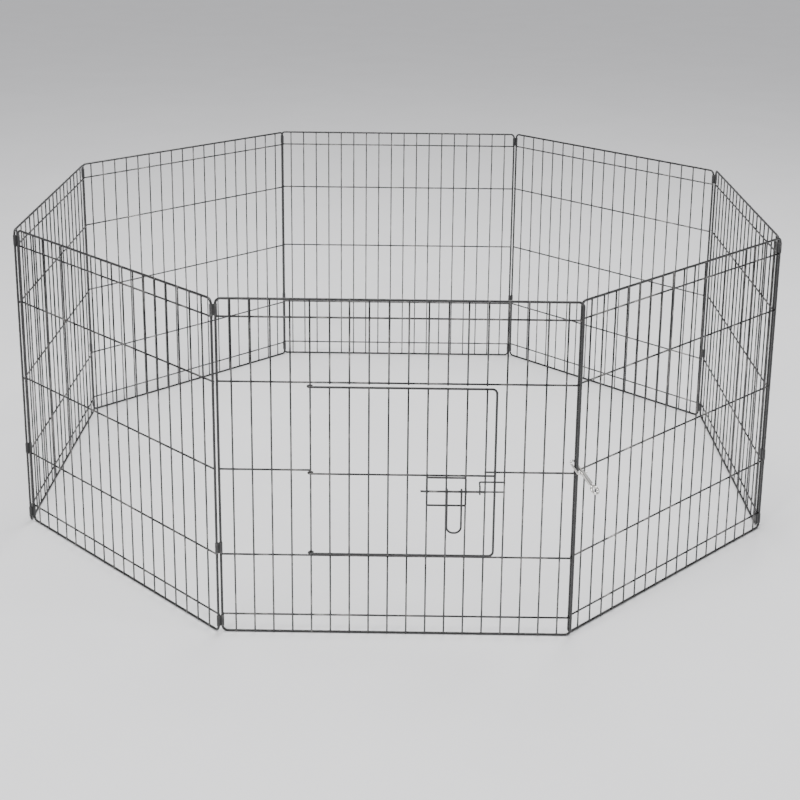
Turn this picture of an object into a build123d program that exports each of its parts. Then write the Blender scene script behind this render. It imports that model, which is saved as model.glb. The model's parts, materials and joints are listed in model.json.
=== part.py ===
from build123d import *
import os
from math import cos, radians, sin

# Folding wire playpen: eight square panels, seven clip hinges, a snap corner and a latched door.
# Millimetres. +Z is up, the floor is z = 0 and the middle of the pen is x = y = 0.
# Each panel is drawn in its own frame: x along its width, y = 0 in its plane, outside is -y.

# ---- panels ----
PANEL_COUNT = 8
PANEL_WIDTH = 610.0  # outside to outside of the frame wire
PANEL_HEIGHT = 610.0
FRAME_WIRE = 4.5
FRAME_BEND = 9.0  # corner radius at the wire's centre
GRID_WIRE = 3.0  # uprights
CROSS_WIRE = 3.4
WELD_SINK = 0.2  # how far two welded wires press into each other
UPRIGHT_COUNT = 18
EDGE_GAP = 24.0  # frame wire to the first upright, centre to centre
OUTER_ROW = 31.5  # first crosswire above the bottom wire and below the top wire
SECOND_ROW = 145.0

# ---- clip hinges ----
CLIP_PITCH = 7.2  # between the two wires that a clip holds
CLIP_LEAN = 67.5  # the clip's angle out of the line of the panel that it is crimped to
CLIP_SHEET = 0.8
CLIP_CLEARANCE = 0.05
CLIP_CRIMP = 0.02  # the crimped eye is this much tighter than its wire
CLIP_HEIGHT = 20.0
CORNER_TURN = 360.0 / PANEL_COUNT

# ---- door in the front panel ----
HINGE_UPRIGHT = 5
STOP_UPRIGHT = 15
DOOR_WIRE = 4.0
DOOR_BEND = 8.0
EYE_CLEARANCE = 0.35
EYE_WRAP = 240.0
DOOR_WELD_SINK = 0.4
DOOR_TOP_DROP = 6.0  # the door's top wire below the crosswire over it
DOOR_MIDDLE_DROP = 3.8
DOOR_BOTTOM_RISE = 6.0
DOOR_SIDE_GAP = 16.4  # the door's free side to the stop upright
STUB_REACH = 34.0  # the cut crosswire reaches this far behind the closed door

# ---- slide latch ----
BOLT_WIRE = 3.8
BOLT_DROP = 24.7  # below the door's middle wire
BOLT_BACK_GAP = 0.4
BOLT_TAIL = 11.0
BOLT_PAST_KEEPER = 8.0
LATCH_WIRE = 3.5
BRACKET_UPRIGHTS = (11, 13)
BRACKET_OVER = 23.3
BRACKET_UNDER = 27.2
BUMP_CLEARANCE = 0.3
BUMP_HALF = 3.6
BUMP_RAMP = 3.4
BUMP_BEND = 2.2
BRACKET_BEND = 5.0
HANDLE_WIDTH = 24.5
HANDLE_SIDE_GAP = 3.6
HANDLE_LENGTH = 74.0
HANDLE_ROUND = 0.45
HANDLE_WRAP = -240.0
HANDLE_CLEARANCE = 0.06
KEEPER_PAST = 9.2  # past the last of the door's uprights
KEEPER_RISE = 10.5
KEEPER_DROP = 3.5
STOP_DROP = 7.5
KEEPER_BEND = 3.2
KEEPER_TAIL = 2.0

# ---- bolt snap ----
SNAP_RISE = 10.0  # the hook's middle above the middle crosswire
SNAP_HEADING = -38.0  # the snap's length seen from above, from +x
SNAP_DIP = 44.5  # how far its length dips under level
HOOK_WALL = 3.2
HOOK_THICK = 4.0
HOOK_ARM = 6.2  # the hook's arm and the plunger are this far either side of its middle
HOOK_TOP = -7.4  # centre of the hook's round end
HOOK_TIP = -4.7
HOOK_SHOULDER = 10.6  # where the arm turns in to the barrel
PLUNGER_WIRE = 4.0
PLUNGER_TIP_GAP = 0.35
BARREL_START = 9.5
BARREL_LENGTH = 27.0
BARREL_WIRE = 8.0
BORE_CLEARANCE = 0.08
STUD_PLACE = 6.5  # thumb stud behind the barrel's mouth
STUD_WIRE = 2.0
STUD_HEIGHT = 6.6
STUD_KNOB = 3.4
STUD_LEAN = 40.0  # the thumb stud's lean out of the square to the hook's plane
STUD_CLEARANCE = 0.1
PLUNGER_TRAVEL = 8.0
PLUNGER_TAIL = 4.0  # behind the stud
NECK_WIRE = 3.0
NECK_CLEARANCE = 0.1
NECK_LENGTH = 4.2
HEAD_WIRE = 5.0
HEAD_LENGTH = 2.0
HEAD_GAP = 0.35
END_WALL = 2.2
RING_RADIUS = 7.2
RING_WIRE = 4.6

# ---- worked out from the above ----
PANEL_NAMES = ("front", "front_left", "left", "back_left", "back", "back_right", "right", "front_right")
W = PANEL_WIDTH - FRAME_WIRE  # between the centres of a panel's side wires
H = PANEL_HEIGHT - FRAME_WIRE
BASE = FRAME_WIRE / 2  # height of the bottom wire's centre
GRID_DEPTH = GRID_WIRE + CROSS_WIRE - WELD_SINK  # uprights outside and crosswires inside the panel's plane
UPRIGHT_Y = (GRID_WIRE - GRID_DEPTH) / 2
ROW_Y = (GRID_DEPTH - CROSS_WIRE) / 2
BEHIND_Y = UPRIGHT_Y + GRID_WIRE - WELD_SINK  # thin wires welded behind the uprights
PITCH = (W - 2 * EDGE_GAP) / (UPRIGHT_COUNT - 1)
ROWS = [BASE + z for z in (OUTER_ROW, SECOND_ROW, H / 2, H - SECOND_ROW, H - OUTER_ROW)]


def upright_x(number):
    return -W / 2 + EDGE_GAP + PITCH * (number - 1)


HINGE_X = upright_x(HINGE_UPRIGHT)
HINGE_Y = UPRIGHT_Y
STOP_X = upright_x(STOP_UPRIGHT)
DOOR_X = STOP_X - DOOR_SIDE_GAP
DOOR_Y = HINGE_Y - (GRID_WIRE + DOOR_WIRE) / 2 - EYE_CLEARANCE
DOOR_TOP = ROWS[3] - DOOR_TOP_DROP
DOOR_MIDDLE = ROWS[2] - DOOR_MIDDLE_DROP
DOOR_BOTTOM = ROWS[1] + DOOR_BOTTOM_RISE
DOOR_GRID_Y = DOOR_Y - (DOOR_WIRE + GRID_WIRE) / 2 + DOOR_WELD_SINK
DOOR_CROSS_Y = DOOR_GRID_Y + (GRID_WIRE + CROSS_WIRE) / 2 - WELD_SINK
DOOR_FACE = DOOR_GRID_Y - GRID_WIRE / 2
HANDLE_EYE = (BOLT_WIRE + LATCH_WIRE) / 2 + HANDLE_CLEARANCE
BOLT_Y = DOOR_FACE - BOLT_BACK_GAP - HANDLE_EYE - LATCH_WIRE / 2
BOLT_Z = DOOR_MIDDLE - BOLT_DROP
BRACKET_Y = DOOR_FACE - LATCH_WIRE / 2 + WELD_SINK
BRACKET_X = [upright_x(n) for n in BRACKET_UPRIGHTS]
KEEPER_X = upright_x(STOP_UPRIGHT - 1) - KEEPER_PAST
KEEPER_Y = BOLT_Y - (BOLT_WIRE + GRID_WIRE) / 2 - BOLT_BACK_GAP
HANDLE_RIGHT = BRACKET_X[1] - LATCH_WIRE - HANDLE_SIDE_GAP
HANDLE_LEFT = HANDLE_RIGHT - HANDLE_WIDTH
BOLT_TRAVEL = HANDLE_LEFT - BRACKET_X[0] - LATCH_WIRE - BOLT_BACK_GAP
BARREL_END = BARREL_START + BARREL_LENGTH
STUD_X = BARREL_START + STUD_PLACE
HEAD_X = BARREL_END - END_WALL - HEAD_GAP - HEAD_LENGTH / 2


# ---- wire helpers ----
def along(path, wire):
    """A round wire swept along a path."""
    section = Plane(origin=path @ 0, z_dir=path % 0) * Circle(wire / 2)
    return sweep(section, path=path)


def straight(start, end, wire):
    return along(Line(start, end), wire)


def bent(points, bend, wire, close=False):
    return along(FilletPolyline(*points, radius=bend, close=close), wire)


def upright(x, y, low, high, wire=GRID_WIRE):
    return straight((x, y, low), (x, y, high), wire)


def eye(x, y, z, radius, wrap=-EYE_WRAP):
    """An arc round an upright at (x, y), from its outer side."""
    return CenterArc((x, y, z), radius, -90, wrap)


# ---- a panel in its own frame ----
def frame():
    half = W / 2
    corners = [(-half, 0, BASE), (half, 0, BASE), (half, 0, BASE + H), (-half, 0, BASE + H)]
    return [bent(corners, FRAME_BEND, FRAME_WIRE, close=True)]


def uprights():
    return [upright(upright_x(n), UPRIGHT_Y, BASE, BASE + H) for n in range(1, UPRIGHT_COUNT + 1)]


def crosswires():
    return [straight((-W / 2, ROW_Y, z), (W / 2, ROW_Y, z), CROSS_WIRE) for z in ROWS]


def door_panel_uprights():
    """The front panel's uprights stop short over and under the door."""
    wires = []
    for n in range(1, UPRIGHT_COUNT + 1):
        if HINGE_UPRIGHT < n < STOP_UPRIGHT:
            spans = [(BASE, ROWS[1] + CROSS_WIRE / 2), (ROWS[3] - CROSS_WIRE / 2, BASE + H)]
        else:
            spans = [(BASE, BASE + H)]
        wires += [upright(upright_x(n), UPRIGHT_Y, low, high) for low, high in spans]
    return wires


def door_panel_crosswires():
    wires = [w for w, z in zip(crosswires(), ROWS) if z != ROWS[2]]
    spans = [(-W / 2, HINGE_X), (STOP_X - STUB_REACH, W / 2)]
    return wires + [straight((a, ROW_Y, ROWS[2]), (b, ROW_Y, ROWS[2]), CROSS_WIRE) for a, b in spans]


# ---- where each panel stands, and the clips between them ----
def folds_inward(corner):
    return corner % 2 == 0


def heading_vector(degrees):
    return Vector(cos(radians(degrees)), sin(radians(degrees)), 0)


def walk():
    """From the front panel's right wire round the pen: every panel's right wire, left wire and heading."""
    wires, corners = [], []
    start, heading = Vector(W / 2, 0, 0), 180.0
    for number in range(PANEL_COUNT):
        end = start + heading_vector(heading) * W
        wires.append((start, end, heading))
        crimped = heading - CORNER_TURN if folds_inward(number) else heading
        start = end + heading_vector(crimped + CLIP_LEAN) * CLIP_PITCH
        corners.append((end, start, crimped + CLIP_LEAN))
        heading -= CORNER_TURN
    return wires, corners[:-1]


def stations():
    """Each panel's place, each clipped corner's wires and the free end, with the pen's middle at the origin."""
    wires, corners = walk()
    middle = Vector(0, 0, 0)
    for right, left, _ in wires:
        middle += (right + left) / (2 * PANEL_COUNT)
    places = [Pos((right + left) / 2 - middle) * Rot(0, 0, turn - 180) for right, left, turn in wires]
    corners = [(near - middle, far - middle, lean) for near, far, lean in corners]
    return places, corners, wires[0][0] - middle, wires[-1][1] - middle


PLACES, CORNERS, HELD_END, FREE_END = stations()


def clip_heights():
    low = (BASE + FRAME_BEND + ROWS[0]) / 2 - CROSS_WIRE / 4
    return [low, ROWS[1] + CROSS_WIRE / 2 + CLIP_HEIGHT / 2 + CLIP_SHEET, 2 * BASE + H - low]


def clip(corner):
    """A sheet clip: a crimped eye, a running eye and the strip pinched flat between them."""
    crimped, running = FRAME_WIRE / 2 - CLIP_CRIMP, FRAME_WIRE / 2 + CLIP_CLEARANCE
    near, far = (running, crimped) if folds_inward(corner) else (crimped, running)
    outer = running + CLIP_SHEET
    outline = Circle(outer) + Pos(CLIP_PITCH, 0) * Circle(outer)
    outline += Pos(CLIP_PITCH / 2, 0) * Rectangle(CLIP_PITCH, 2 * CLIP_SHEET)
    outline -= Circle(near) + Pos(CLIP_PITCH, 0) * Circle(far)
    return extrude(outline, CLIP_HEIGHT)


def clips(corner):
    held, _, lean = CORNERS[corner]
    heights = [z - CLIP_HEIGHT / 2 for z in clip_heights()]
    return [Pos(held.X, held.Y, z) * Rot(0, 0, lean) * clip(corner) for z in heights]


# ---- the door, drawn in the front panel's frame ----
def door_frame():
    """One wire: an eye round the hinge upright, out, down, back and another eye."""
    reach = HINGE_Y - DOOR_Y
    top = eye(HINGE_X, HINGE_Y, DOOR_TOP, reach)
    bottom = eye(HINGE_X, HINGE_Y, DOOR_BOTTOM, reach)
    corners = [(HINGE_X, DOOR_Y, DOOR_TOP), (DOOR_X, DOOR_Y, DOOR_TOP)]
    corners += [(DOOR_X, DOOR_Y, DOOR_BOTTOM), (HINGE_X, DOOR_Y, DOOR_BOTTOM)]
    outline = FilletPolyline(*corners, radius=DOOR_BEND)
    return [along(Wire([*outline.edges(), top.edge(), bottom.edge()]), DOOR_WIRE)]


def door_uprights():
    numbers = range(HINGE_UPRIGHT + 1, STOP_UPRIGHT)
    return [upright(upright_x(n), DOOR_GRID_Y, DOOR_BOTTOM, DOOR_TOP) for n in numbers]


def door_crosswire():
    run = Line((DOOR_X, DOOR_CROSS_Y, DOOR_MIDDLE), (HINGE_X, DOOR_CROSS_Y, DOOR_MIDDLE))
    loop = eye(HINGE_X, HINGE_Y, DOOR_MIDDLE, HINGE_Y - DOOR_CROSS_Y)
    return [along(Wire([run.edge(), loop.edge()]), CROSS_WIRE)]


# ---- the slide latch, drawn in the front panel's frame ----
def latch_bracket():
    """A closed wire loop whose sides bow out over the bolt."""
    left, right = BRACKET_X
    high, low = BOLT_Z + BRACKET_OVER, BOLT_Z - BRACKET_UNDER
    front = BOLT_Y - (BOLT_WIRE + LATCH_WIRE) / 2 - BUMP_CLEARANCE
    bump = [(BRACKET_Y, BUMP_HALF + BUMP_RAMP), (front, BUMP_HALF), (front, -BUMP_HALF)]
    bump.append((BRACKET_Y, -BUMP_HALF - BUMP_RAMP))
    middle = (left + right) / 2
    halves = []
    for x in (left, right):
        bow = [(x, y, BOLT_Z + z) for y, z in bump]
        corners = [(middle, BRACKET_Y, high), (x, BRACKET_Y, high), *bow]
        corners += [(x, BRACKET_Y, low), (middle, BRACKET_Y, low)]
        halves.append(bent(corners, BUMP_BEND, LATCH_WIRE))
    return [halves[0] + halves[1]]


def latch_bolt():
    tip = KEEPER_X + BOLT_PAST_KEEPER
    rod = straight((BRACKET_X[0] - BOLT_TAIL, BOLT_Y, BOLT_Z), (tip, BOLT_Y, BOLT_Z), BOLT_WIRE)
    return [chamfer(rod.edges().filter_by(GeomType.CIRCLE), BOLT_WIRE / 8)]


def latch_handle():
    """One wire: a U that hangs from two eyes on the bolt."""
    y = BOLT_Y - HANDLE_EYE
    foot = BOLT_Z - HANDLE_LENGTH
    corners = [(HANDLE_LEFT, y, BOLT_Z), (HANDLE_LEFT, y, foot), (HANDLE_RIGHT, y, foot), (HANDLE_RIGHT, y, BOLT_Z)]
    edges = list(FilletPolyline(*corners, radius=HANDLE_WIDTH * HANDLE_ROUND).edges())
    for x in (HANDLE_LEFT, HANDLE_RIGHT):
        side = Plane(origin=(x, BOLT_Y, BOLT_Z), x_dir=(0, -1, 0), z_dir=(1, 0, 0))
        edges.append((side * CenterArc((0, 0, 0), HANDLE_EYE, 0, HANDLE_WRAP)).edge())
    return [along(Wire(edges), LATCH_WIRE)]


def latch_keeper():
    """A hook that comes forward through the door's grid and down in front of the bolt."""
    z = BOLT_Z + KEEPER_RISE
    route = [(STOP_X + KEEPER_TAIL, BEHIND_Y, z), (KEEPER_X, BEHIND_Y, z), (KEEPER_X, KEEPER_Y, z)]
    return [bent([*route, (KEEPER_X, KEEPER_Y, BOLT_Z - KEEPER_DROP)], KEEPER_BEND, GRID_WIRE)]


def door_stop():
    """A stub behind the closed door's free side."""
    z = BOLT_Z - STOP_DROP
    return [straight((KEEPER_X, BEHIND_Y, z), (STOP_X + KEEPER_TAIL, BEHIND_Y, z), GRID_WIRE)]


# ---- the bolt snap: x along it from hook to ring, y across it, z square to the hook ----
def snap_place():
    """Where the hook holds the front panel's right wire and the last panel's free wire."""
    held = (HELD_END + FREE_END) / 2
    across = heading_vector(SNAP_HEADING + 90)
    length = heading_vector(SNAP_HEADING) * cos(radians(SNAP_DIP)) - Vector(0, 0, sin(radians(SNAP_DIP)))
    plane = Plane((held.X, held.Y, ROWS[2] + SNAP_RISE), x_dir=length, z_dir=length.cross(across))
    return Location(plane) * Pos(0, (PLUNGER_WIRE - HOOK_WALL) / 4, 0)


def rod(start, end, wire):
    """A round bar on the plunger's line."""
    return Pos((start + end) / 2, HOOK_ARM, 0) * Rot(0, 90, 0) * Cylinder(wire / 2, end - start)


def snap_hook():
    top = CenterArc((HOOK_TOP, 0, 0), HOOK_ARM, 90, 180)
    tip = Line((HOOK_TIP, HOOK_ARM, 0), top @ 0)
    arm = [top @ 1, (HOOK_SHOULDER, -HOOK_ARM, 0), (BARREL_START + BARREL_WIRE * 0.8, HOOK_ARM * 0.6, 0)]
    path = Wire([tip.edge(), top.edge(), *FilletPolyline(*arm, radius=HOOK_ARM * 0.6).edges()])
    section = Plane(origin=path @ 0, x_dir=(0, 0, 1), z_dir=path % 0) * Ellipse(HOOK_THICK / 2, HOOK_WALL / 2)
    return sweep(section, path=path)


def snap_body():
    """The hook and barrel, bored for the plunger, slotted for its stud and hollow at the swivel's head."""
    well = BARREL_END - END_WALL
    solid = snap_hook() + rod(BARREL_START, BARREL_END, BARREL_WIRE)
    solid -= rod(BARREL_START - HOOK_WALL, HEAD_X, PLUNGER_WIRE + 2 * BORE_CLEARANCE)
    solid -= rod(well - HEAD_LENGTH - 2 * HEAD_GAP, well, HEAD_WIRE + 2 * HEAD_GAP)
    solid -= rod(HEAD_X, BARREL_END + END_WALL, NECK_WIRE + 2 * NECK_CLEARANCE)
    half = STUD_WIRE / 2 + STUD_CLEARANCE
    slot = Pos(PLUNGER_TRAVEL / 2, 0, BARREL_WIRE / 2) * Box(PLUNGER_TRAVEL + 4 * half, 2 * half, BARREL_WIRE)
    return [solid - stud_place() * slot]


def stud_place():
    return Pos(STUD_X, HOOK_ARM, 0) * Rot(-STUD_LEAN, 0, 0)


def snap_plunger():
    """The sliding bolt with its thumb stud."""
    stud = Pos(0, 0, STUD_HEIGHT / 2) * Cylinder(STUD_WIRE / 2, STUD_HEIGHT)
    stud += Pos(0, 0, STUD_HEIGHT) * Cylinder(STUD_KNOB / 2, STUD_WIRE / 2)
    return [rod(HOOK_TIP + PLUNGER_TIP_GAP, STUD_X + PLUNGER_TAIL, PLUNGER_WIRE) + stud_place() * stud]


def snap_ring():
    """The swivel: a head that turns in the barrel's end, a neck and a round ring."""
    head = rod(HEAD_X - HEAD_LENGTH / 2, HEAD_X + HEAD_LENGTH / 2, HEAD_WIRE)
    neck = rod(HEAD_X, BARREL_END + NECK_LENGTH, NECK_WIRE)
    ring = Pos(BARREL_END + NECK_LENGTH + RING_RADIUS, HOOK_ARM, 0) * Torus(RING_RADIUS, RING_WIRE / 2)
    return [head + neck + ring]


# ---- every node, in the pen's frame ----
def build():
    nodes = {}
    for name, place in zip(PANEL_NAMES, PLACES):
        front = name == "front"
        nodes[f"{name}_frame"] = [place * s for s in frame()]
        wires = door_panel_uprights() if front else uprights()
        nodes[f"{name}_uprights"] = [place * s for s in wires]
        wires = door_panel_crosswires() if front else crosswires()
        nodes[f"{name}_crosswires"] = [place * s for s in wires]
    for corner, (near, far) in enumerate(zip(PANEL_NAMES, PANEL_NAMES[1:])):
        nodes[f"{near}_to_{far}_clips"] = clips(corner)
    door = (door_frame, door_uprights, door_crosswire)
    latch = (latch_bracket, latch_bolt, latch_handle, latch_keeper, door_stop)
    for make in door + latch:
        nodes[make.__name__] = [PLACES[0] * s for s in make()]
    for make in (snap_body, snap_plunger, snap_ring):
        nodes[make.__name__] = [snap_place() * s for s in make()]
    return nodes


NODES = build()
os.makedirs("parts", exist_ok=True)
for node, solids in NODES.items():
    shape = solids[0] if len(solids) == 1 else Compound(children=solids)
    export_step(shape, f"parts/{node}.step")
print(f"{len(NODES)} nodes, {sum(len(solids) for solids in NODES.values())} solids")
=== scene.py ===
import json
import logging
import math
import random
from dataclasses import dataclass, field
from enum import Enum

import bpy
from mathutils import Matrix, Vector

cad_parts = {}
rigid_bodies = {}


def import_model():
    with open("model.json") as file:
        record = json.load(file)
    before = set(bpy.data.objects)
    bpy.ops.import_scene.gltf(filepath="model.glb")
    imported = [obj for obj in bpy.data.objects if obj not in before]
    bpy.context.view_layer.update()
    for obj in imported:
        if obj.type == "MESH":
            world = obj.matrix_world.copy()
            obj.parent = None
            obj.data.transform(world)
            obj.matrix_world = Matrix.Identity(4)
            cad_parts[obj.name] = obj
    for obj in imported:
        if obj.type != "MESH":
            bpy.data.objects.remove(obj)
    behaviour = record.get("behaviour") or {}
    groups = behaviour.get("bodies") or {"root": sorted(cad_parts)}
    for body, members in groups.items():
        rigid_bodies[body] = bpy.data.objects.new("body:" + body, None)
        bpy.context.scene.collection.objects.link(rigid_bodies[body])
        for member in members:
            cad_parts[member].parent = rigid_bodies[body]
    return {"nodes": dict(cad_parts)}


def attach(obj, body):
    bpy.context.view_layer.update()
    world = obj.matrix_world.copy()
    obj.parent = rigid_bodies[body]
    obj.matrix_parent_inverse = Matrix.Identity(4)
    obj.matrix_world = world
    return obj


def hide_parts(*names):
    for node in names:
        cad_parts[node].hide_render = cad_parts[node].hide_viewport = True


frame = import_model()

SEED = 7
MM = 0.001
GRID_NUGGET = 1.35
FRAME_NUGGET = 1.6
NUGGET_SHAPE = (1.25, 0.62, 1.25, 1.0)
FRAME_NUGGET_OUT = 0.36
WIRE_CUT = 0.28
WIRE_CUT_RADIUS = 0.78
TOUCH = 0.1
log = logging.getLogger("playpen")


class Slot(Enum):
    """The material slots that the visible pieces take their finish from."""

    FRAME = "frame_wire"
    GRID = "grid_wire"
    LATCH = "latch_wire"
    CLIP = "clip_steel"
    CASTING = "snap_casting"
    STEEL = "snap_steel"


class Fold(Enum):
    """Which way a corner folds when the pen is packed flat."""

    INWARD = 0
    OUTWARD = 1


# ---------------------------------------------------------------- sizes


@dataclass(frozen=True)
class PenSpec:
    """Sizes of the pen in millimetres, shared by every sub-assembly."""

    width: float = 610.0
    height: float = 610.0
    frame_wire: float = 4.5
    frame_bend: float = 9.0
    grid_wire: float = 3.0
    cross_wire: float = 3.4
    weld_sink: float = 0.2
    upright_count: int = 18
    edge_gap: float = 24.0
    outer_row: float = 31.5
    second_row: float = 145.0
    clip_pitch: float = 7.2
    clip_lean: float = 67.5
    clip_sheet: float = 0.8
    clip_clearance: float = 0.05
    clip_height: float = 20.0
    hinge_upright: int = 5
    stop_upright: int = 15
    stub_reach: float = 34.0

    @property
    def span(self) -> float:
        """Between the centres of a panel's side wires."""
        return self.width - self.frame_wire

    @property
    def rise(self) -> float:
        """Between the centres of a panel's bottom and top wires."""
        return self.height - self.frame_wire

    @property
    def base(self) -> float:
        """Height of the bottom wire's centre."""
        return self.frame_wire / 2

    @property
    def grid_depth(self) -> float:
        """Thickness of the welded grid."""
        return self.grid_wire + self.cross_wire - self.weld_sink

    @property
    def upright_y(self) -> float:
        """The uprights' centres, outside the panel's plane."""
        return (self.grid_wire - self.grid_depth) / 2

    @property
    def row_y(self) -> float:
        """The crosswires' centres, inside the panel's plane."""
        return (self.grid_depth - self.cross_wire) / 2

    @property
    def behind_y(self) -> float:
        """Centres of thin wires welded behind the uprights."""
        return self.upright_y + self.grid_wire - self.weld_sink

    @property
    def rows(self) -> list[float]:
        """Heights of the crosswires."""
        low = (self.outer_row, self.second_row)
        return [self.base + z for z in (*low, self.rise / 2, *(self.rise - z for z in reversed(low)))]

    def upright_x(self, number: int) -> float:
        """Place of an upright along its panel.

        Args:
            number: The upright, counted from 1 at the panel's left side.

        Returns:
            Its x in the panel's own frame.
        """
        pitch = (self.span - 2 * self.edge_gap) / (self.upright_count - 1)
        return -self.span / 2 + self.edge_gap + pitch * (number - 1)


SPEC = PenSpec()
PANELS = ("front", "front_left", "left", "back_left", "back", "back_right", "right", "front_right")


# ---------------------------------------------------------------- node helpers


class Graph:
    """Adds nodes to a tree and wires them up by socket name."""

    def __init__(self, tree: bpy.types.NodeTree) -> None:
        self.tree = tree

    def add(self, kind: str, inputs: dict | None = None, **settings) -> bpy.types.Node:
        """Adds a node.

        Args:
            kind: The node's type name.
            inputs: Values or output sockets by input name or index.
            settings: Properties to set on the node first.

        Returns:
            The new node.
        """
        node = self.tree.nodes.new(kind)
        for name, value in settings.items():
            setattr(node, name, value)
        for key, value in (inputs or {}).items():
            self.feed(node.inputs[key], value)
        return node

    def feed(self, socket: bpy.types.NodeSocket, value) -> None:
        """Links an output socket to an input, or sets the input's own value.

        Args:
            socket: The input.
            value: An output socket or a plain value.
        """
        if isinstance(value, bpy.types.NodeSocket):
            self.tree.links.new(value, socket)
        else:
            socket.default_value = value

    def ramp(self, factor, stops: list[tuple[float, tuple]]) -> bpy.types.NodeSocket:
        """Adds a colour ramp.

        Args:
            factor: What drives it.
            stops: Pairs of place and colour.

        Returns:
            The ramp's colour output.
        """
        node = self.add("ShaderNodeValToRGB", {"Fac": factor})
        while len(node.color_ramp.elements) < len(stops):
            node.color_ramp.elements.new(0.5)
        for element, (place, colour) in zip(node.color_ramp.elements, stops):
            element.position, element.color = place, (*colour, 1.0)
        return node.outputs["Color"]

    def spread(self, value, low: float, high: float, to_low: float, to_high: float) -> bpy.types.NodeSocket:
        """Maps one range onto another, clamped.

        Args:
            value: The socket to map.
            low: Start of the range read.
            high: End of the range read.
            to_low: Start of the range given.
            to_high: End of the range given.

        Returns:
            The mapped value.
        """
        places = {"Value": value, "From Min": low, "From Max": high, "To Min": to_low, "To Max": to_high}
        return self.add("ShaderNodeMapRange", places).outputs["Result"]

    def noise(self, scale: float, detail: float = 3.0, rough: float = 0.55, stretch=(1, 1, 1)) -> bpy.types.NodeSocket:
        """Adds solid noise in the object's own coordinates.

        Args:
            scale: Features per metre.
            detail: Octaves.
            rough: How much the small octaves count.
            stretch: Scale of each axis.

        Returns:
            The noise value.
        """
        where = self.add("ShaderNodeTexCoord").outputs["Object"]
        placed = self.add("ShaderNodeMapping", {"Vector": where, "Scale": stretch}).outputs["Vector"]
        made = self.add("ShaderNodeTexNoise", {"Vector": placed, "Scale": scale, "Detail": detail, "Roughness": rough})
        return made.outputs["Fac"]


# ---------------------------------------------------------------- finishes


@dataclass(frozen=True)
class CoatFinish:
    """Black dipped coat over steel: slight orange peel, dull patches, rub marks and settled dust."""

    name: str
    base: tuple = (0.006, 0.006, 0.0065)
    tired: tuple = (0.014, 0.0138, 0.0134)
    gloss: tuple = (0.2, 0.42)
    peel: float = 0.12
    worn: float = 0.70
    dust: float = 0.03

    def build(self) -> bpy.types.Material:
        """Makes the material.

        Returns:
            The finished material.
        """
        material = bpy.data.materials.new(self.name)
        material.use_nodes = True
        material.node_tree.nodes.clear()
        g = Graph(material.node_tree)
        broad, fine = g.noise(14, 4), g.noise(260, 5, 0.6)
        colour = g.ramp(broad, [(0.35, self.base), (0.72, self.tired)])
        steel = g.ramp(fine, [(0.3, (0.17, 0.165, 0.16)), (0.7, (0.34, 0.33, 0.32))])
        normal = g.add("ShaderNodeNewGeometry")
        edge = g.spread(normal.outputs["Pointiness"], 0.53, 0.60, 0.0, 1.0)
        speck = g.spread(g.noise(420, 6, 0.7), self.worn, self.worn + 0.05, 0.0, 1.0)
        patch = g.spread(g.noise(32, 3), 0.5, 0.66, 0.0, 1.0)
        chips = g.add("ShaderNodeMath", {0: speck, 1: patch}, operation="MULTIPLY").outputs[0]
        rubbed = g.add("ShaderNodeMath", {0: edge, 1: patch}, operation="MULTIPLY").outputs[0]
        bare = g.add("ShaderNodeMath", {0: chips, 1: rubbed}, operation="MAXIMUM").outputs[0]
        worn = g.add("ShaderNodeMix", {"Factor": bare, "A": colour, "B": steel}, data_type="RGBA")
        up = g.add("ShaderNodeSeparateXYZ", {"Vector": normal.outputs["Normal"]}).outputs["Z"]
        lying = g.spread(up, 0.55, 1.0, 0.0, self.dust)
        clouds = g.spread(g.noise(60, 4), 0.35, 0.7, 0.2, 1.0)
        drift = g.add("ShaderNodeMath", {0: lying, 1: clouds}, operation="MULTIPLY")
        dusty = g.add("ShaderNodeMix", {"Factor": drift.outputs[0], "A": self.rgba(worn), "B": (0.34, 0.32, 0.29, 1)},
                      data_type="RGBA")
        rough = g.spread(g.noise(48, 5, 0.6), 0.3, 0.7, *self.gloss)
        rough = g.add("ShaderNodeMath", {0: rough, 1: drift.outputs[0]}, operation="ADD", use_clamp=True).outputs[0]
        dents = g.add("ShaderNodeBump", {"Height": g.noise(900, 2, 0.4), "Strength": self.peel, "Distance": 0.0002})
        shader = g.add("ShaderNodeBsdfPrincipled", {"Base Color": self.rgba(dusty), "Roughness": rough,
                                                    "Metallic": bare, "Normal": dents.outputs["Normal"]})
        shader.inputs["IOR"].default_value = 1.52
        shader.inputs["Specular IOR Level"].default_value = 0.62
        g.add("ShaderNodeOutputMaterial", {"Surface": shader.outputs["BSDF"]})
        return material

    @staticmethod
    def rgba(mix: bpy.types.Node) -> bpy.types.NodeSocket:
        """The colour output of a mix node.

        Args:
            mix: The node.

        Returns:
            Its colour socket.
        """
        return [s for s in mix.outputs if s.type == "RGBA"][0]


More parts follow.
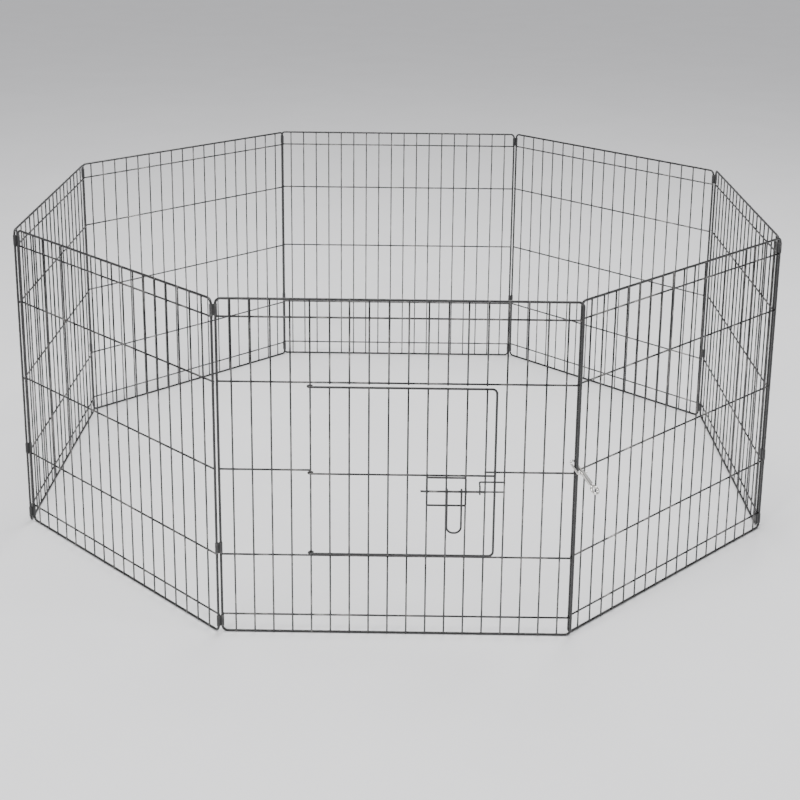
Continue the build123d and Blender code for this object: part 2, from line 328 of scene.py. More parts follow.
@dataclass(frozen=True)
class PlateFinish:
    """Bright nickel plate: polish swirls, small casting dimples and painted shade that darkens the hollows."""

    name: str
    base: tuple = (0.80, 0.785, 0.75)
    gloss: tuple = (0.10, 0.26)
    dimples: float = 0.10
    stretch: tuple = (1, 1, 1)

    def build(self) -> bpy.types.Material:
        """Makes the material.

        Returns:
            The finished material.
        """
        material = bpy.data.materials.new(self.name)
        material.use_nodes = True
        material.node_tree.nodes.clear()
        g = Graph(material.node_tree)
        cavity = g.add("ShaderNodeNewGeometry").outputs["Pointiness"]
        # Painted shade: this mask mixes the hollows (low pointiness) towards near-black where shade would fall, and
        # the next line mixes it into the plate's colour.
        hollow_shade_mask = g.spread(cavity, 0.40, 0.49, 0.75, 0.0)
        tone = g.ramp(g.noise(220, 4), [(0.3, tuple(c * 0.90 for c in self.base)), (0.7, self.base)])
        tone_with_hollow_shade = g.add("ShaderNodeMix", {"Factor": hollow_shade_mask, "A": tone, "B": (0.10, 0.09, 0.08, 1)}, data_type="RGBA")
        rough = g.spread(g.noise(700, 6, 0.65, self.stretch), 0.3, 0.7, *self.gloss)
        dents = g.add("ShaderNodeBump", {"Height": g.noise(1100, 3), "Strength": self.dimples, "Distance": 0.0002})
        shader = g.add("ShaderNodeBsdfPrincipled", {"Base Color": CoatFinish.rgba(tone_with_hollow_shade), "Roughness": rough,
                                                    "Normal": dents.outputs["Normal"]})
        shader.inputs["Metallic"].default_value = 1.0
        g.add("ShaderNodeOutputMaterial", {"Surface": shader.outputs["BSDF"]})
        return material


FINISHES = {
    Slot.FRAME: CoatFinish("frame_coat", gloss=(0.18, 0.36)),
    Slot.GRID: CoatFinish("grid_coat", base=(0.007, 0.007, 0.0075), gloss=(0.16, 0.34), worn=0.72),
    Slot.LATCH: CoatFinish("latch_coat", worn=0.62, gloss=(0.2, 0.4)),
    Slot.CLIP: CoatFinish("clip_coat", base=(0.016, 0.016, 0.017), worn=0.60, gloss=(0.28, 0.5), peel=0.2),
    Slot.CASTING: PlateFinish("snap_plate"),
    Slot.STEEL: PlateFinish("plunger_plate", gloss=(0.12, 0.3), stretch=(1, 1, 4)),
}


# ---------------------------------------------------------------- wire building


@dataclass
class Wire:
    """One round wire along a run of points, in millimetres."""

    points: list
    diameter: float
    closed: bool = False

    def eased(self) -> tuple[list, list]:
        """The points with a small chamfer at each cut end.

        Returns:
            Points and the wire's radius at each.
        """
        points = [Vector(p) for p in self.points]
        radius = self.diameter / 2
        if self.closed:
            return points, [radius] * len(points)
        cut = radius * WIRE_CUT
        head = points[0] + (points[1] - points[0]).normalized() * cut
        tail = points[-1] + (points[-2] - points[-1]).normalized() * cut
        points = [points[0], head, *points[1:-1], tail, points[-1]]
        tip = radius * WIRE_CUT_RADIUS
        radii = [tip, *[radius] * (len(points) - 2), tip]
        return points, radii


def rounded(corners: list, bend: float, steps: int = 6, closed: bool = False) -> list:
    """Replaces each corner of a run of points with an arc.

    Args:
        corners: The corner points.
        bend: Radius at the wire's centre.
        steps: Spans in each arc.
        closed: Whether the run joins up with its start.

    Returns:
        The points of the bent run.
    """
    corners = [Vector(c) for c in corners]
    count, out = len(corners), []
    for i, corner in enumerate(corners):
        if not closed and i in (0, count - 1):
            out.append(corner)
            continue
        back = (corners[i - 1] - corner).normalized()
        on = (corners[(i + 1) % count] - corner).normalized()
        half = back.angle(on) / 2
        centre = corner + (back + on).normalized() * (bend / math.sin(half))
        start = corner + back * (bend / math.tan(half)) - centre
        end = corner + on * (bend / math.tan(half)) - centre
        turn = start.angle(end)
        for k in range(steps + 1):
            share = k / steps
            arm = (start * math.sin((1 - share) * turn) + end * math.sin(share * turn)) / math.sin(turn)
            out.append(centre + arm)
    return out


def arc(centre, first, second, radius: float, sweep: float, steps: int = 20) -> list:
    """Points on an arc.

    Args:
        centre: Its middle.
        first: Unit direction of its start.
        second: Unit direction a quarter turn on.
        radius: Its radius.
        sweep: Degrees covered.
        steps: Spans.

    Returns:
        The points.
    """
    centre, first, second = Vector(centre), Vector(first), Vector(second)
    turns = [math.radians(sweep * k / steps) for k in range(steps + 1)]
    return [centre + (first * math.cos(t) + second * math.sin(t)) * radius for t in turns]


class TubeTree:
    """A node group that turns bare edges into round wire of the radius stored at each point."""

    SIDES = "Sides"
    FINISH = "Finish"

    def __init__(self) -> None:
        tree = bpy.data.node_groups.new("wire_tubes", "GeometryNodeTree")
        face = tree.interface
        face.new_socket("Geometry", in_out="INPUT", socket_type="NodeSocketGeometry")
        self.sides = face.new_socket(self.SIDES, in_out="INPUT", socket_type="NodeSocketInt").identifier
        self.finish = face.new_socket(self.FINISH, in_out="INPUT", socket_type="NodeSocketMaterial").identifier
        face.new_socket("Geometry", in_out="OUTPUT", socket_type="NodeSocketGeometry")
        g = Graph(tree)
        given = g.add("NodeGroupInput").outputs
        curve = g.add("GeometryNodeMeshToCurve", {"Mesh": given["Geometry"]}).outputs[0]
        radius = g.add("GeometryNodeInputNamedAttribute", {"Name": "wire_radius"}, data_type="FLOAT").outputs[0]
        ring = g.add("GeometryNodeCurvePrimitiveCircle", {"Resolution": given[self.SIDES], "Radius": 1.0}).outputs[0]
        tube = g.add("GeometryNodeCurveToMesh", {"Curve": curve, "Profile Curve": ring, "Scale": radius,
                                                 "Fill Caps": True}).outputs[0]
        smooth = g.add("GeometryNodeSetShadeSmooth", {"Geometry": tube}).outputs[0]
        whole = g.add("GeometryNodeRealizeInstances", {"Geometry": smooth}).outputs[0]
        dressed = g.add("GeometryNodeSetMaterial", {"Geometry": whole, "Material": given[self.FINISH]}).outputs[0]
        g.add("NodeGroupOutput", {"Geometry": dressed})
        self.tree = tree


class ScatterTree:
    """A node group that puts one small shape at every point, each turned and sized a little differently."""

    SHAPE = "Shape"
    SPREAD = "Size Spread"
    TURN = "Turn Spread"
    SEED = "Seed"
    FINISH = "Finish"

    def __init__(self) -> None:
        tree = bpy.data.node_groups.new("scattered_shapes", "GeometryNodeTree")
        face = tree.interface
        face.new_socket("Geometry", in_out="INPUT", socket_type="NodeSocketGeometry")
        kinds = ((self.SHAPE, "NodeSocketObject"), (self.SPREAD, "NodeSocketFloat"), (self.TURN, "NodeSocketFloat"),
                 (self.SEED, "NodeSocketInt"), (self.FINISH, "NodeSocketMaterial"))
        self.ids = {name: face.new_socket(name, in_out="INPUT", socket_type=kind).identifier for name, kind in kinds}
        face.new_socket("Geometry", in_out="OUTPUT", socket_type="NodeSocketGeometry")
        g = Graph(tree)
        given = g.add("NodeGroupInput").outputs
        shape = g.add("GeometryNodeObjectInfo", {"Object": given[self.SHAPE]}).outputs["Geometry"]
        low = g.add("ShaderNodeMath", {0: 1.0, 1: given[self.SPREAD]}, operation="SUBTRACT").outputs[0]
        high = g.add("ShaderNodeMath", {0: 1.0, 1: given[self.SPREAD]}, operation="ADD").outputs[0]
        size = g.add("FunctionNodeRandomValue", {"Seed": given[self.SEED]}, data_type="FLOAT")
        g.feed(size.inputs[2], low)
        g.feed(size.inputs[3], high)
        back = g.add("ShaderNodeMath", {0: given[self.TURN], 1: -1.0}, operation="MULTIPLY").outputs[0]
        turn = g.add("FunctionNodeRandomValue", {"Seed": given[self.SEED]}, data_type="FLOAT")
        g.feed(turn.inputs[2], back)
        g.feed(turn.inputs[3], given[self.TURN])
        facing = g.add("GeometryNodeInputNamedAttribute", {"Name": "facing"}, data_type="FLOAT").outputs[0]
        yaw = g.add("ShaderNodeMath", {0: facing, 1: turn.outputs[1]}, operation="ADD").outputs[0]
        spin = g.add("ShaderNodeCombineXYZ", {"Z": yaw}).outputs[0]
        placed = g.add("GeometryNodeInstanceOnPoints", {"Points": given["Geometry"], "Instance": shape,
                                                        "Rotation": spin, "Scale": size.outputs[1]}).outputs[0]
        whole = g.add("GeometryNodeRealizeInstances", {"Geometry": placed}).outputs[0]
        dressed = g.add("GeometryNodeSetMaterial", {"Geometry": whole, "Material": given[self.FINISH]}).outputs[0]
        g.add("NodeGroupOutput", {"Geometry": dressed})
        self.tree = tree


@dataclass
class Workshop:
    """Turns wires, points and faces into dressed meshes and hands them to the frame."""

    finishes: dict = field(default_factory=dict)
    tubes: TubeTree = None
    scatter: ScatterTree = None

    def open(self) -> "Workshop":
        """Builds the materials and the node groups.

        Returns:
            The workshop itself.
        """
        self.finishes = {slot: finish.build() for slot, finish in FINISHES.items()}
        self.tubes, self.scatter = TubeTree(), ScatterTree()
        return self

    @staticmethod
    def link(name: str, mesh: bpy.types.Mesh) -> bpy.types.Object:
        """Puts a mesh in the scene.

        Args:
            name: The object's name.
            mesh: Its mesh.

        Returns:
            The object.
        """
        made = bpy.data.objects.new(name, mesh)
        bpy.context.scene.collection.objects.link(made)
        return made

    def evaluated(self, seed: bpy.types.Object, tree: bpy.types.NodeTree, values: dict, name: str) -> bpy.types.Object:
        """Runs a node group over an object and keeps the result as a plain mesh.

        Args:
            seed: The object that carries the bare points or edges; it is removed.
            tree: The node group.
            values: Input values by socket identifier.
            name: The new object's name.

        Returns:
            An object with the plain mesh.
        """
        modifier = seed.modifiers.new("build", "NODES")
        modifier.node_group = tree
        for key, value in values.items():
            modifier[key] = value
        seed.update_tag()
        bpy.context.view_layer.update()
        graph = bpy.context.evaluated_depsgraph_get()
        mesh = bpy.data.meshes.new_from_object(seed.evaluated_get(graph), preserve_all_data_layers=True,
                                               depsgraph=graph)
        seed.modifiers.clear()
        bpy.data.objects.remove(seed)
        mesh.name = name
        return self.link(name, mesh)

    def wires(self, name: str, wires: list, place: Matrix, slot: Slot, sides: int = 14) -> bpy.types.Object:
        """Builds round wires.

        Args:
            name: The object's name.
            wires: The wires.
            place: Where their frame stands.
            slot: The finish.
            sides: Faces round each wire.

        Returns:
            The finished object.
        """
        points, edges, radii = [], [], []
        for wire in wires:
            run, sizes = wire.eased()
            first = len(points)
            points += [place @ (p * MM) for p in run]
            radii += [r * MM for r in sizes]
            edges += [(first + i, first + i + 1) for i in range(len(run) - 1)]
            if wire.closed:
                edges.append((first + len(run) - 1, first))
        mesh = bpy.data.meshes.new(name + "_run")
        mesh.from_pydata(points, edges, [])
        mesh.attributes.new("wire_radius", "FLOAT", "POINT").data.foreach_set("value", radii)
        values = {self.tubes.sides: sides, self.tubes.finish: self.finishes[slot]}
        return self.evaluated(self.link(name + "_run", mesh), self.tubes.tree, values, name)

    def scattered(self, name: str, shape: bpy.types.Object, points: list, place: Matrix, slot: Slot,
                  facing: float = 0.0, size_spread: float = 0.0, turn_spread: float = 0.0) -> bpy.types.Object:
        """Builds one shape at many points.

        Args:
            name: The object's name.
            shape: The shape, at the origin.
            points: Where to put it, in millimetres.
            place: Where the points' frame stands.
            slot: The finish.
            facing: Turn about z of every shape, in radians.
            size_spread: Share by which sizes vary.
            turn_spread: Radians by which turns vary.

        Returns:
            The finished object.
        """
        mesh = bpy.data.meshes.new(name + "_points")
        mesh.from_pydata([place @ (Vector(p) * MM) for p in points], [], [])
        mesh.attributes.new("facing", "FLOAT", "POINT").data.foreach_set("value", [facing] * len(points))
        ids = self.scatter.ids
        values = {ids[ScatterTree.SHAPE]: shape, ids[ScatterTree.SPREAD]: size_spread, ids[ScatterTree.SEED]: SEED,
                  ids[ScatterTree.TURN]: turn_spread, ids[ScatterTree.FINISH]: self.finishes[slot]}
        return self.evaluated(self.link(name + "_points", mesh), self.scatter.tree, values, name)

    @staticmethod
    def joined(name: str, parts: list) -> bpy.types.Object:
        """Joins objects that share a body and a finish into one mesh.

        Args:
            name: The joined object's name.
            parts: The objects.

        Returns:
            The joined object.
        """
        with bpy.context.temp_override(active_object=parts[0], selected_editable_objects=parts):
            bpy.ops.object.join()
        parts[0].name = parts[0].data.name = name
        return parts[0]

    @staticmethod
    def hand_over(piece: bpy.types.Object, body: str, slot: Slot, *nodes: str) -> None:
        """Gives a finished piece to the frame.

        Args:
            piece: The piece.
            body: The body that it moves with.
            slot: Not used.
            nodes: The modelled nodes that it stands for.
        """
        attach(piece, body)
        if nodes:
            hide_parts(*nodes)


def nugget(radius: float) -> bpy.types.Object:
    """A small squashed ball for the melted metal at a crossing.

    Args:
        radius: Its radius in millimetres.

    Returns:
        The ball, not shown.
    """
    bpy.ops.mesh.primitive_ico_sphere_add(subdivisions=2, radius=radius * MM)
    ball = bpy.context.object
    ball.data.transform(Matrix.Diagonal(NUGGET_SHAPE))
    for face in ball.data.polygons:
        face.use_smooth = True
    return ball


# ---------------------------------------------------------------- where panels stand


@dataclass(frozen=True)
class Corner:
    """Two neighbouring side wires and the line between them."""

    near: Vector
    far: Vector
    lean: float
    fold: Fold


class Ring:
    """Walks round the pen and gives each panel's place and each clipped corner."""

    def __init__(self, spec: PenSpec) -> None:
        self.spec = spec
        turn = 360.0 / len(PANELS)
        walls, corners = [], []
        start, heading = Vector((spec.span / 2, 0, 0)), 180.0
        for number in range(len(PANELS)):
            end = start + self.toward(heading) * spec.span
            walls.append((start, end, heading))
            fold = Fold(number % 2)
            lean = (heading - turn if fold is Fold.INWARD else heading) + spec.clip_lean
            start = end + self.toward(lean) * spec.clip_pitch
            corners.append((end, start, lean, fold))
            heading -= turn
        middle = sum(((a + b) / (2 * len(PANELS)) for a, b, _ in walls), Vector())
        self.places = [self.stand((a + b) / 2 - middle, h - 180) for a, b, h in walls]
        self.corners = [Corner(a - middle, b - middle, lean, fold) for a, b, lean, fold in corners[:-1]]

    @staticmethod
    def toward(degrees: float) -> Vector:
        """A level unit vector.

        Args:
            degrees: Its heading from +x.

        Returns:
            The vector.
        """
        return Vector((math.cos(math.radians(degrees)), math.sin(math.radians(degrees)), 0))

    @staticmethod
    def stand(point: Vector, degrees: float) -> Matrix:
        """A frame on the floor.

        Args:
            point: Its origin in millimetres.
            degrees: Its turn about z.

        Returns:
            The frame in metres.
        """
        return Matrix.Translation(point * MM) @ Matrix.Rotation(math.radians(degrees), 4, "Z")


# ---------------------------------------------------------------- sub-assemblies


@dataclass
class Panel:
    """One welded wire panel: a bent frame wire, uprights outside it, crosswires inside and weld nuggets."""

    name: str
    place: Matrix
    spec: PenSpec = SPEC

    @property
    def has_door(self) -> bool:
        """Whether this panel's grid is cut for the door."""
        return self.name == "front"

    def frame_wires(self) -> list[Wire]:
        """The frame's wires.

        Returns:
            One closed wire.
        """
        s = self.spec
        x, low, high = s.span / 2, s.base, s.base + s.rise
        corners = [(-x, 0, low), (x, 0, low), (x, 0, high), (-x, 0, high)]
        return [Wire(rounded(corners, s.frame_bend, 8, closed=True), s.frame_wire, closed=True)]

    def upright_spans(self, number: int) -> list[tuple[float, float]]:
        """The heights that one upright covers.

        Args:
            number: The upright.

        Returns:
            Pairs of low and high ends.
        """
        s = self.spec
        low, high, half = s.base, s.base + s.rise, s.cross_wire / 2
        if self.has_door and s.hinge_upright < number < s.stop_upright:
            return [(low, s.rows[1] + half), (s.rows[3] - half, high)]
        return [(low, high)]

    def row_spans(self, row: int) -> list[tuple[float, float]]:
        """The lengths that one crosswire covers.

        Args:
            row: The crosswire, from the bottom.

        Returns:
            Pairs of left and right ends.
        """
        s = self.spec
        if self.has_door and row == 2:
            return [(-s.span / 2, s.upright_x(s.hinge_upright)),
                    (s.upright_x(s.stop_upright) - s.stub_reach, s.span / 2)]
        return [(-s.span / 2, s.span / 2)]

    def upright_wires(self) -> list[Wire]:
        """The uprights.

        Returns:
            Straight wires.
        """
        s, y = self.spec, self.spec.upright_y
        places = [(s.upright_x(n), n) for n in range(1, s.upright_count + 1)]
        return [Wire([(x, y, a), (x, y, b)], s.grid_wire) for x, n in places for a, b in self.upright_spans(n)]

    def cross_wires(self) -> list[Wire]:
        """The crosswires.

        Returns:
            Straight wires.
        """
        s = self.spec
        rows = enumerate(s.rows)
        return [Wire([(a, s.row_y, z), (b, s.row_y, z)], s.cross_wire) for i, z in rows for a, b in self.row_spans(i)]

    def weld_points(self) -> list[tuple]:
        """Where crosswires meet uprights.

        Returns:
            Points between each pair of wires.
        """
        s, out = self.spec, []
        for number in range(1, s.upright_count + 1):
            x = s.upright_x(number)
            for row, z in enumerate(s.rows):
                meets_row = any(a - TOUCH <= x <= b + TOUCH for a, b in self.row_spans(row))
                if meets_row and any(low <= z <= high for low, high in self.upright_spans(number)):
                    out.append((x, 0, z))
        return out

    def frame_weld_points(self) -> list[tuple]:
        """Where the grid's ends are pressed into the frame.

        Returns:
            Points on the frame's outer and inner faces.
        """
        s = self.spec
        out = s.frame_wire * FRAME_NUGGET_OUT
        ends = [(s.upright_x(n), -out, z) for n in range(1, s.upright_count + 1) for z in (s.base, s.base + s.rise)]
        return ends + [(x, out, z) for x in (-s.span / 2, s.span / 2) for z in s.rows]

    def build(self, shop: Workshop) -> None:
        """Builds and hands over the panel's meshes.

        Args:
            shop: The workshop.
        """
        body, turn = f"{self.name}_panel", self.place.to_euler().z
        ball, bead = nugget(GRID_NUGGET), nugget(FRAME_NUGGET)
        ring = shop.wires(f"{self.name}_frame_skin", self.frame_wires(), self.place, Slot.FRAME, 20)
        beads = shop.scattered("beads", bead, self.frame_weld_points(), self.place, Slot.FRAME, turn, 0.16, 0.3)
        ring = shop.joined(f"{self.name}_frame_skin", [ring, beads])
        shop.hand_over(ring, body, Slot.FRAME, f"{self.name}_frame")
        bars = shop.wires(f"{self.name}_uprights_skin", self.upright_wires(), self.place, Slot.GRID)
        shop.hand_over(bars, body, Slot.GRID, f"{self.name}_uprights")
        rows = shop.wires(f"{self.name}_crosswires_skin", self.cross_wires(), self.place, Slot.GRID)
        balls = shop.scattered("balls", ball, self.weld_points(), self.place, Slot.GRID, turn, 0.18, 0.35)
        rows = shop.joined(f"{self.name}_crosswires_skin", [rows, balls])
        shop.hand_over(rows, body, Slot.GRID, f"{self.name}_crosswires")
        for spare in (ball, bead):
            bpy.data.objects.remove(spare)


@dataclass
class ClipHinge:
    """Three folded-strip clips that hold two neighbouring side wires."""

    near: str
    far: str
    corner: Corner
    spec: PenSpec = SPEC
    waist_gap: float = 0.1
    edge_ease: float = 0.25
    edge_shrink: float = 0.22
    seam_wire: float = 0.5
    seam_out: float = 0.05
    seam_share: float = 0.42

    def outline(self, grow: float = 0.0) -> list[tuple[float, float]]:
        """The strip's outer line seen from above: two rounds and a pinched waist.

        Args:
            grow: How far to move the line outward.

        Returns:
            Points round the clip.
        """
        s = self.spec
        radius = s.frame_wire / 2 + s.clip_clearance + s.clip_sheet + grow
        waist = s.clip_sheet + self.waist_gap + grow
        meet = math.asin(waist / radius)
        steps = 18
        angles = [meet + (2 * math.pi - 2 * meet) * k / steps for k in range(steps + 1)]
        left = [(radius * math.cos(a), radius * math.sin(a)) for a in angles]
        right = [(s.clip_pitch - x, -y) for x, y in left]
        return left + right

    def clip_shape(self) -> bpy.types.Object:
        """One clip, a closed band with eased edges.

        Returns:
            The clip, not shown.
        """
        half = self.spec.clip_height / 2
        rim, shrink = half - self.edge_ease, -self.edge_shrink
        levels = [(-half, shrink), (-rim, 0.0), (-half * 0.5, 0.0), (half * 0.5, 0.0), (rim, 0.0), (half, shrink)]
        points, faces, count = [], [], 0
        for z, grow in levels:
            ring = [(x * MM, y * MM, z * MM) for x, y in self.outline(grow)]
            count = len(ring)
            points += ring
        for level in range(len(levels) - 1):
            low, high = level * count, (level + 1) * count
            faces += [(low + i, low + (i + 1) % count, high + (i + 1) % count, high + i) for i in range(count)]
        half_count = count // 2
        for base, flip in ((0, True), ((len(levels) - 1) * count, False)):
            eyes = [list(range(base, base + half_count)), list(range(base + half_count, base + count))]
            waist = [base, base + half_count - 1, base + half_count, base + count - 1]
            for cap in [*eyes, waist]:
                faces.append(tuple(reversed(cap)) if flip else tuple(cap))
        mesh = bpy.data.meshes.new("clip_shape")
        mesh.from_pydata(points, [], faces)
        mesh.update()
        for face in mesh.polygons:
            face.use_smooth = abs(face.normal.z) < 0.5
        return Workshop.link("clip_shape", mesh)

    def seam_wires(self) -> list[Wire]:
        """The lapped edge of the strip, a thin raised line down the clip's waist.

        Returns:
            Short wires across the waist's two faces.
        """
        s = self.spec
        x, half = s.clip_pitch / 2, s.clip_height * self.seam_share
        faces = [side * (s.clip_sheet + self.seam_out) for side in (-1, 1)]
        return [Wire([(x, y, z - half), (x, y, z + half)], self.seam_wire) for z in self.heights() for y in faces]

    def heights(self) -> list[float]:
        """The clips' middles.

        Returns:
            Heights above the floor.
        """
        s = self.spec
        low = (s.base + s.frame_bend + s.rows[0]) / 2 - s.cross_wire / 4
        return [low, s.rows[1] + s.cross_wire / 2 + s.clip_height / 2 + s.clip_sheet, 2 * s.base + s.rise - low]

    def build(self, shop: Workshop) -> None:
        """Builds and hands over the corner's clips.

        Args:
            shop: The workshop.
        """
        odd = self.far if self.corner.fold is Fold.INWARD else self.near
        place = Ring.stand(self.corner.near, self.corner.lean)
        shape = self.clip_shape()
        name = f"{self.near}_to_{self.far}_clips"
        points = [(0, 0, z) for z in self.heights()]
        clips = shop.scattered(name + "_skin", shape, points, place, Slot.CLIP, math.radians(self.corner.lean))
        seams = shop.wires("seams", self.seam_wires(), place, Slot.CLIP, 8)
        clips = shop.joined(name + "_skin", [clips, seams])
        shop.hand_over(clips, f"{odd}_panel", Slot.CLIP, name)
        bpy.data.objects.remove(shape)


@dataclass
class Door:
    """The door in the front panel: bent frame with eyes, uprights, a crosswire and the latch."""

    place: Matrix
    spec: PenSpec = SPEC
    wire: float = 4.0
    bend: float = 8.0
    eye_clearance: float = 0.35
    weld_sink: float = 0.4
    drop: float = 6.0
    middle_drop: float = 3.8
    side_gap: float = 16.4
    bolt_wire: float = 3.8
    latch_wire: float = 3.5
    bolt_drop: float = 24.7
    bolt_back_gap: float = 0.4
    handle_clearance: float = 0.06
    handle_width: float = 24.5
    handle_drop: float = 74.0
    handle_gap: float = 3.6
    handle_round: float = 0.45
    bracket_over: float = 23.3
    bracket_under: float = 27.2
    bracket_gap: float = 0.3
    bracket_bend: float = 2.2
    bow: tuple = (3.6, 7.0)
    bolt_before: float = 11.0
    bolt_past: float = 8.0
    keeper_past: float = 9.2
    keeper_rise: float = 10.5
    keeper_drop: float = 3.5
    keeper_bend: float = 3.2
    stop_drop: float = 7.5
    weld_past: float = 2.0

    def __post_init__(self) -> None:
        s = self.spec
        self.hinge_x, self.hinge_y = s.upright_x(s.hinge_upright), s.upright_y
        self.stop_x = s.upright_x(s.stop_upright)
        self.free_x = self.stop_x - self.side_gap
        self.y = self.hinge_y - (s.grid_wire + self.wire) / 2 - self.eye_clearance
        self.high, self.low = s.rows[3] - self.drop, s.rows[1] + self.drop
        self.middle = s.rows[2] - self.middle_drop
        self.grid_y = self.y - (self.wire + s.grid_wire) / 2 + self.weld_sink
        self.cross_y = self.grid_y + (s.grid_wire + s.cross_wire) / 2 - s.weld_sink
        self.face = self.grid_y - s.grid_wire / 2
        self.eye = (self.bolt_wire + self.latch_wire) / 2 + self.handle_clearance
        self.bolt_y = self.face - self.bolt_back_gap - self.eye - self.latch_wire / 2
        self.bolt_z = self.middle - self.bolt_drop
        self.bracket_x = (s.upright_x(11), s.upright_x(13))
        self.keeper_x = s.upright_x(s.stop_upright - 1) - self.keeper_past
        self.handle_right = self.bracket_x[1] - self.latch_wire - self.handle_gap
        self.handle_left = self.handle_right - self.handle_width

    def hinge_eye(self, z: float, y: float) -> list:
        """Points of an eye round the hinge upright, from its outer side.

        Args:
            z: Its height.
            y: Where the wire runs on from it.

        Returns:
            The points.
        """
        return arc((self.hinge_x, self.hinge_y, z), (0, -1, 0), (-1, 0, 0), self.hinge_y - y, 240.0)

    def frame_wires(self) -> list[Wire]:
        """The door's frame.

        Returns:
            One wire from eye to eye.
        """
        corners = [(self.hinge_x, self.y, self.high), (self.free_x, self.y, self.high),
                   (self.free_x, self.y, self.low), (self.hinge_x, self.y, self.low)]
        run = rounded(corners, self.bend, 8)
        top, bottom = self.hinge_eye(self.high, self.y), self.hinge_eye(self.low, self.y)
        return [Wire([*reversed(top[1:]), *run, *bottom[1:]], self.wire)]

    def grid_wires(self) -> list[Wire]:
        """The door's uprights.

        Returns:
            Straight wires.
        """
        s = self.spec
        numbers = range(s.hinge_upright + 1, s.stop_upright)
        return [Wire([(s.upright_x(n), self.grid_y, self.low), (s.upright_x(n), self.grid_y, self.high)], s.grid_wire)
                for n in numbers]

    def cross_wires(self) -> list[Wire]:
        """The door's crosswire with its eye.

        Returns:
            One wire.
        """
        eye = self.hinge_eye(self.middle, self.cross_y)
        return [Wire([(self.free_x, self.cross_y, self.middle), *eye], self.spec.cross_wire)]

    def weld_points(self) -> list[tuple]:
        """Where the door's uprights meet its other wires.

        Returns:
            Points on the backs of the uprights.
        """
        s = self.spec
        numbers = range(s.hinge_upright + 1, s.stop_upright)
        between = (self.grid_y + self.cross_y) / 2
        return [(s.upright_x(n), between, z) for n in numbers for z in (self.low, self.middle, self.high)]

    def bracket_wires(self) -> list[Wire]:
        """The latch bracket, a closed loop whose sides bow out over the bolt.

        Returns:
            One closed wire.
        """
        left, right = self.bracket_x
        y = self.face - self.latch_wire / 2 + self.spec.weld_sink
        front = self.bolt_y - (self.bolt_wire + self.latch_wire) / 2 - self.bracket_gap
        near, far = self.bow
        bow = [(y, far), (front, near), (front, -near), (y, -far)]
        down = [(right, a, self.bolt_z + b) for a, b in bow]
        up = [(left, a, self.bolt_z - b) for a, b in bow]
        high, low = self.bolt_z + self.bracket_over, self.bolt_z - self.bracket_under
        corners = [(left, y, high), (right, y, high), *down, (right, y, low), (left, y, low), *up]
        return [Wire(rounded(corners, self.bracket_bend, 5, closed=True), self.latch_wire, closed=True)]

    def bolt_wires(self) -> list[Wire]:
        """The sliding bolt.

        Returns:
            One straight wire.
        """
        start, end = self.bracket_x[0] - self.bolt_before, self.keeper_x + self.bolt_past
        return [Wire([(start, self.bolt_y, self.bolt_z), (end, self.bolt_y, self.bolt_z)], self.bolt_wire)]

    def handle_wires(self) -> list[Wire]:
        """The hanging handle.

        Returns:
            One wire: an eye, a U and another eye.
        """
        y, foot = self.bolt_y - self.eye, self.bolt_z - self.handle_drop
        corners = [(self.handle_left, y, self.bolt_z), (self.handle_left, y, foot),
                   (self.handle_right, y, foot), (self.handle_right, y, self.bolt_z)]
        eyes = [arc((x, self.bolt_y, self.bolt_z), (0, -1, 0), (0, 0, 1), self.eye, 240.0)
                for x in (self.handle_left, self.handle_right)]
        run = rounded(corners, self.handle_width * self.handle_round, 12)
        return [Wire([*reversed(eyes[0][1:]), *run, *eyes[1][1:]], self.latch_wire)]

    def keeper_wires(self) -> list[Wire]:
        """The keeper hook on the front panel.

        Returns:
            One bent wire.
        """
        s, z = self.spec, self.bolt_z + self.keeper_rise
        y = self.bolt_y - (self.bolt_wire + s.grid_wire) / 2 - self.bolt_back_gap
        corners = [(self.stop_x + self.weld_past, s.behind_y, z), (self.keeper_x, s.behind_y, z),
                   (self.keeper_x, y, z), (self.keeper_x, y, self.bolt_z - self.keeper_drop)]
        return [Wire(rounded(corners, self.keeper_bend, 8), s.grid_wire)]

    def stop_wires(self) -> list[Wire]:
        """The stub behind the door's free side.

        Returns:
            One straight wire.
        """
        s, z = self.spec, self.bolt_z - self.stop_drop
        return [Wire([(self.keeper_x, s.behind_y, z), (self.stop_x + self.weld_past, s.behind_y, z)], s.grid_wire)]

    def build(self, shop: Workshop) -> None:
        """Builds and hands over the door and its latch.

        Args:
            shop: The workshop.
        """
        made = (
            ("door_frame", self.frame_wires(), "door", Slot.FRAME, 20),
            ("door_uprights", self.grid_wires(), "door", Slot.GRID, 14),
            ("latch_bracket", self.bracket_wires(), "door", Slot.LATCH, 18),
            ("latch_bolt", self.bolt_wires(), "latch_bolt", Slot.LATCH, 24),
            ("latch_handle", self.handle_wires(), "latch_handle", Slot.LATCH, 20),
            ("latch_keeper", self.keeper_wires(), "front_panel", Slot.LATCH, 18),
            ("door_stop", self.stop_wires(), "front_panel", Slot.GRID, 14),
        )
        for node, wires, body, slot, sides in made:
            shop.hand_over(shop.wires(node + "_skin", wires, self.place, slot, sides), body, slot, node)
        ball = nugget(GRID_NUGGET)
        rows = shop.wires("door_crosswire_skin", self.cross_wires(), self.place, Slot.GRID)
        balls = shop.scattered("balls", ball, self.weld_points(), self.place, Slot.GRID, 0.0, 0.18, 0.35)
        rows = shop.joined("door_crosswire_skin", [rows, balls])
        shop.hand_over(rows, "door", Slot.GRID, "door_crosswire")
        bpy.data.objects.remove(ball)


@dataclass
class BoltSnap:
    """The plated snap at the corner that opens. Its modelled shape is kept and given its plate."""

    nodes: dict

    def dress(self, shop: Workshop) -> None:
        """Puts the plate on the modelled parts.

        Args:
            shop: The workshop.
        """
        for name, slot in (("snap_body", Slot.CASTING), ("snap_plunger", Slot.STEEL), ("snap_ring", Slot.CASTING)):
            mesh = self.nodes[name].data
            mesh.materials.clear()
            mesh.materials.append(shop.finishes[slot])


